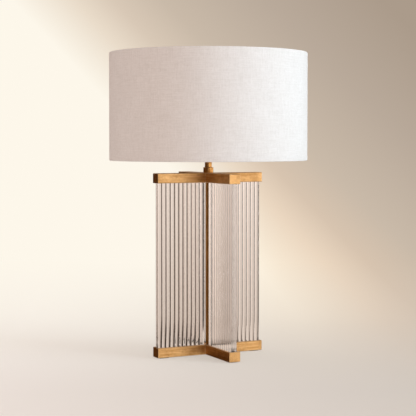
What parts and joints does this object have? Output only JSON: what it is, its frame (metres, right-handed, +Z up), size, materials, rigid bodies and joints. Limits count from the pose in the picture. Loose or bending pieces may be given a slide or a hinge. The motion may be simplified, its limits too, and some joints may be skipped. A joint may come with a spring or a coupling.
{
  "type": "column table lamp",
  "caption": "Table lamp with a drum shade of linen over a column of reeded glass slabs held between two brass crosses.",
  "frame": {"origin": "on the table, under the lamp's axis, level with the underside of its felt feet", "axes": "+Z up along the lamp's axis; the arms of the crosses lie along +X, -X, +Y and -Y; the cord enters at +Y, so -Y is the front"},
  "size_m": [0.4572, 0.4572, 0.7069],
  "materials": {
    "aged_brass": "aged satin brass, darker in the grain, worn bright along the edges",
    "reeded_glass": "clear polished glass, moulded in reeds",
    "clear_vinyl": "clear soft vinyl",
    "felt": "dark felt",
    "zinc_steel": "zinc plated",
    "black_nylon": "moulded nylon",
    "harp_brass": "brass plated wire and strip",
    "socket_brass": "lacquered turned brass",
    "black_phenolic": "moulded phenolic",
    "shaft_steel": "turned steel",
    "frosted_glass": "inside-frosted glass",
    "bulb_aluminium": "rolled aluminium",
    "black_vitrite": "black vitreous glass",
    "bulb_tip": "soldered contact",
    "linen": "off-white plain-weave linen",
    "styrene": "white translucent styrene sheet",
    "ring_wire": "white coated steel strip"
  },
  "bodies": {
    "lamp_base": {"base_cross": "aged_brass", "top_cross": "aged_brass", "centre_post": "aged_brass", "neck_collar": "aged_brass", "neck_tube": "aged_brass", "glass_panel_left": "reeded_glass", "glass_panel_front": "reeded_glass", "glass_panel_right": "reeded_glass", "glass_panel_back": "reeded_glass", "glass_pads_lower": "clear_vinyl", "glass_pads_upper": "clear_vinyl", "foot_pads": "felt", "lamp_rod": "zinc_steel", "base_washer": "zinc_steel", "base_nut": "zinc_steel", "cord_bushing": "black_nylon", "harp": "harp_brass", "harp_saddle": "harp_brass", "harp_seat": "harp_brass", "socket_cap": "socket_brass", "socket_shell": "socket_brass", "screw_shell": "socket_brass", "centre_contact": "socket_brass", "switch_nipple": "socket_brass", "socket_insulator": "black_phenolic"},
    "shade": {"shade_spider": "harp_brass", "shade_ring_upper": "ring_wire", "shade_ring_lower": "ring_wire", "shade_liner": "styrene", "shade_linen": "linen"},
    "finial": {"finial": "aged_brass"},
    "bulb": {"bulb_glass": "frosted_glass", "bulb_cap": "bulb_aluminium", "bulb_insulator": "black_vitrite", "bulb_contact": "bulb_tip"},
    "switch": {"switch_shaft": "shaft_steel", "switch_knob": "black_phenolic"},
    "left_sleeve": {"harp_sleeve_left": "harp_brass"},
    "right_sleeve": {"harp_sleeve_right": "harp_brass"}
  },
  "joints": [
    {"name": "shade_turn", "type": "hinge", "parent": "lamp_base", "child": "shade", "pos_m": [0, 0, 0.6818], "axis": [0, 0, 1], "continuous": true},
    {"name": "finial_turn", "type": "hinge", "parent": "lamp_base", "child": "finial", "pos_m": [0, 0, 0.69], "axis": [0, 0, 1], "continuous": true},
    {"name": "bulb_turn", "type": "hinge", "parent": "lamp_base", "child": "bulb", "pos_m": [0, 0, 0.51], "axis": [0, 0, 1], "continuous": true},
    {"name": "switch_turn", "type": "hinge", "parent": "lamp_base", "child": "switch", "pos_m": [0, -0.0196, 0.4821], "axis": [0, -1, 0], "continuous": true},
    {"name": "left_sleeve_slide", "type": "slide", "parent": "lamp_base", "child": "left_sleeve", "axis": [0, 0, 1], "range_m": [0, 0.016]},
    {"name": "right_sleeve_slide", "type": "slide", "parent": "lamp_base", "child": "right_sleeve", "axis": [0, 0, 1], "range_m": [0, 0.016]}
  ]
}
